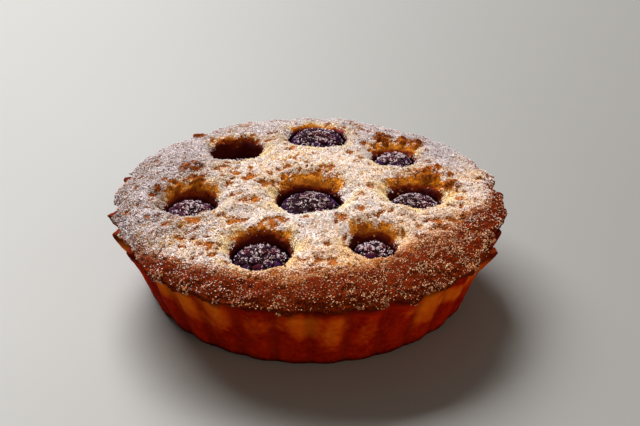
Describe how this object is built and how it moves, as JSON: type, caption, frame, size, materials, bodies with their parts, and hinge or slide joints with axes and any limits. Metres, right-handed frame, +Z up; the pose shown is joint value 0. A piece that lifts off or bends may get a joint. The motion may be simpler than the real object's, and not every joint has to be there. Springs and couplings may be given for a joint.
{
  "type": "raspberry frangipane tartlet",
  "caption": "Round baked tartlet: a fluted shortcrust shell filled with a domed almond sponge that spills over its rim, with baked raspberries sunk in craters and a dusting of icing sugar.",
  "frame": {"origin": "the middle of the flat foot, on the table", "axes": "+Z is up through the tartlet; -Y is the side that faces the picture's camera; +X is to the right in the picture"},
  "size_m": [0.1037, 0.1033, 0.0275],
  "materials": {
    "pastry_crust": "baked shortcrust, golden to deep red-brown, slightly waxy",
    "frangipane": "baked almond sponge, matte and crumbly under icing sugar",
    "raspberry_centre": "baked raspberry, dark and moist",
    "raspberry_front_left": "baked raspberry, dark and moist",
    "raspberry_front_right": "baked raspberry, dark and moist",
    "raspberry_right": "baked raspberry, dark and moist",
    "raspberry_left": "baked raspberry, dark and moist",
    "raspberry_back_left": "baked raspberry, dark and moist",
    "raspberry_back": "baked raspberry, dark and moist",
    "raspberry_back_right": "baked raspberry, dark and moist"
  },
  "bodies": {
    "root": {"pastry_crust": "pastry_crust", "frangipane": "frangipane", "raspberry_centre": "raspberry_centre", "raspberry_front_left": "raspberry_front_left", "raspberry_front_right": "raspberry_front_right", "raspberry_right": "raspberry_right", "raspberry_left": "raspberry_left", "raspberry_back_left": "raspberry_back_left", "raspberry_back": "raspberry_back", "raspberry_back_right": "raspberry_back_right"}
  },
  "joints": []
}
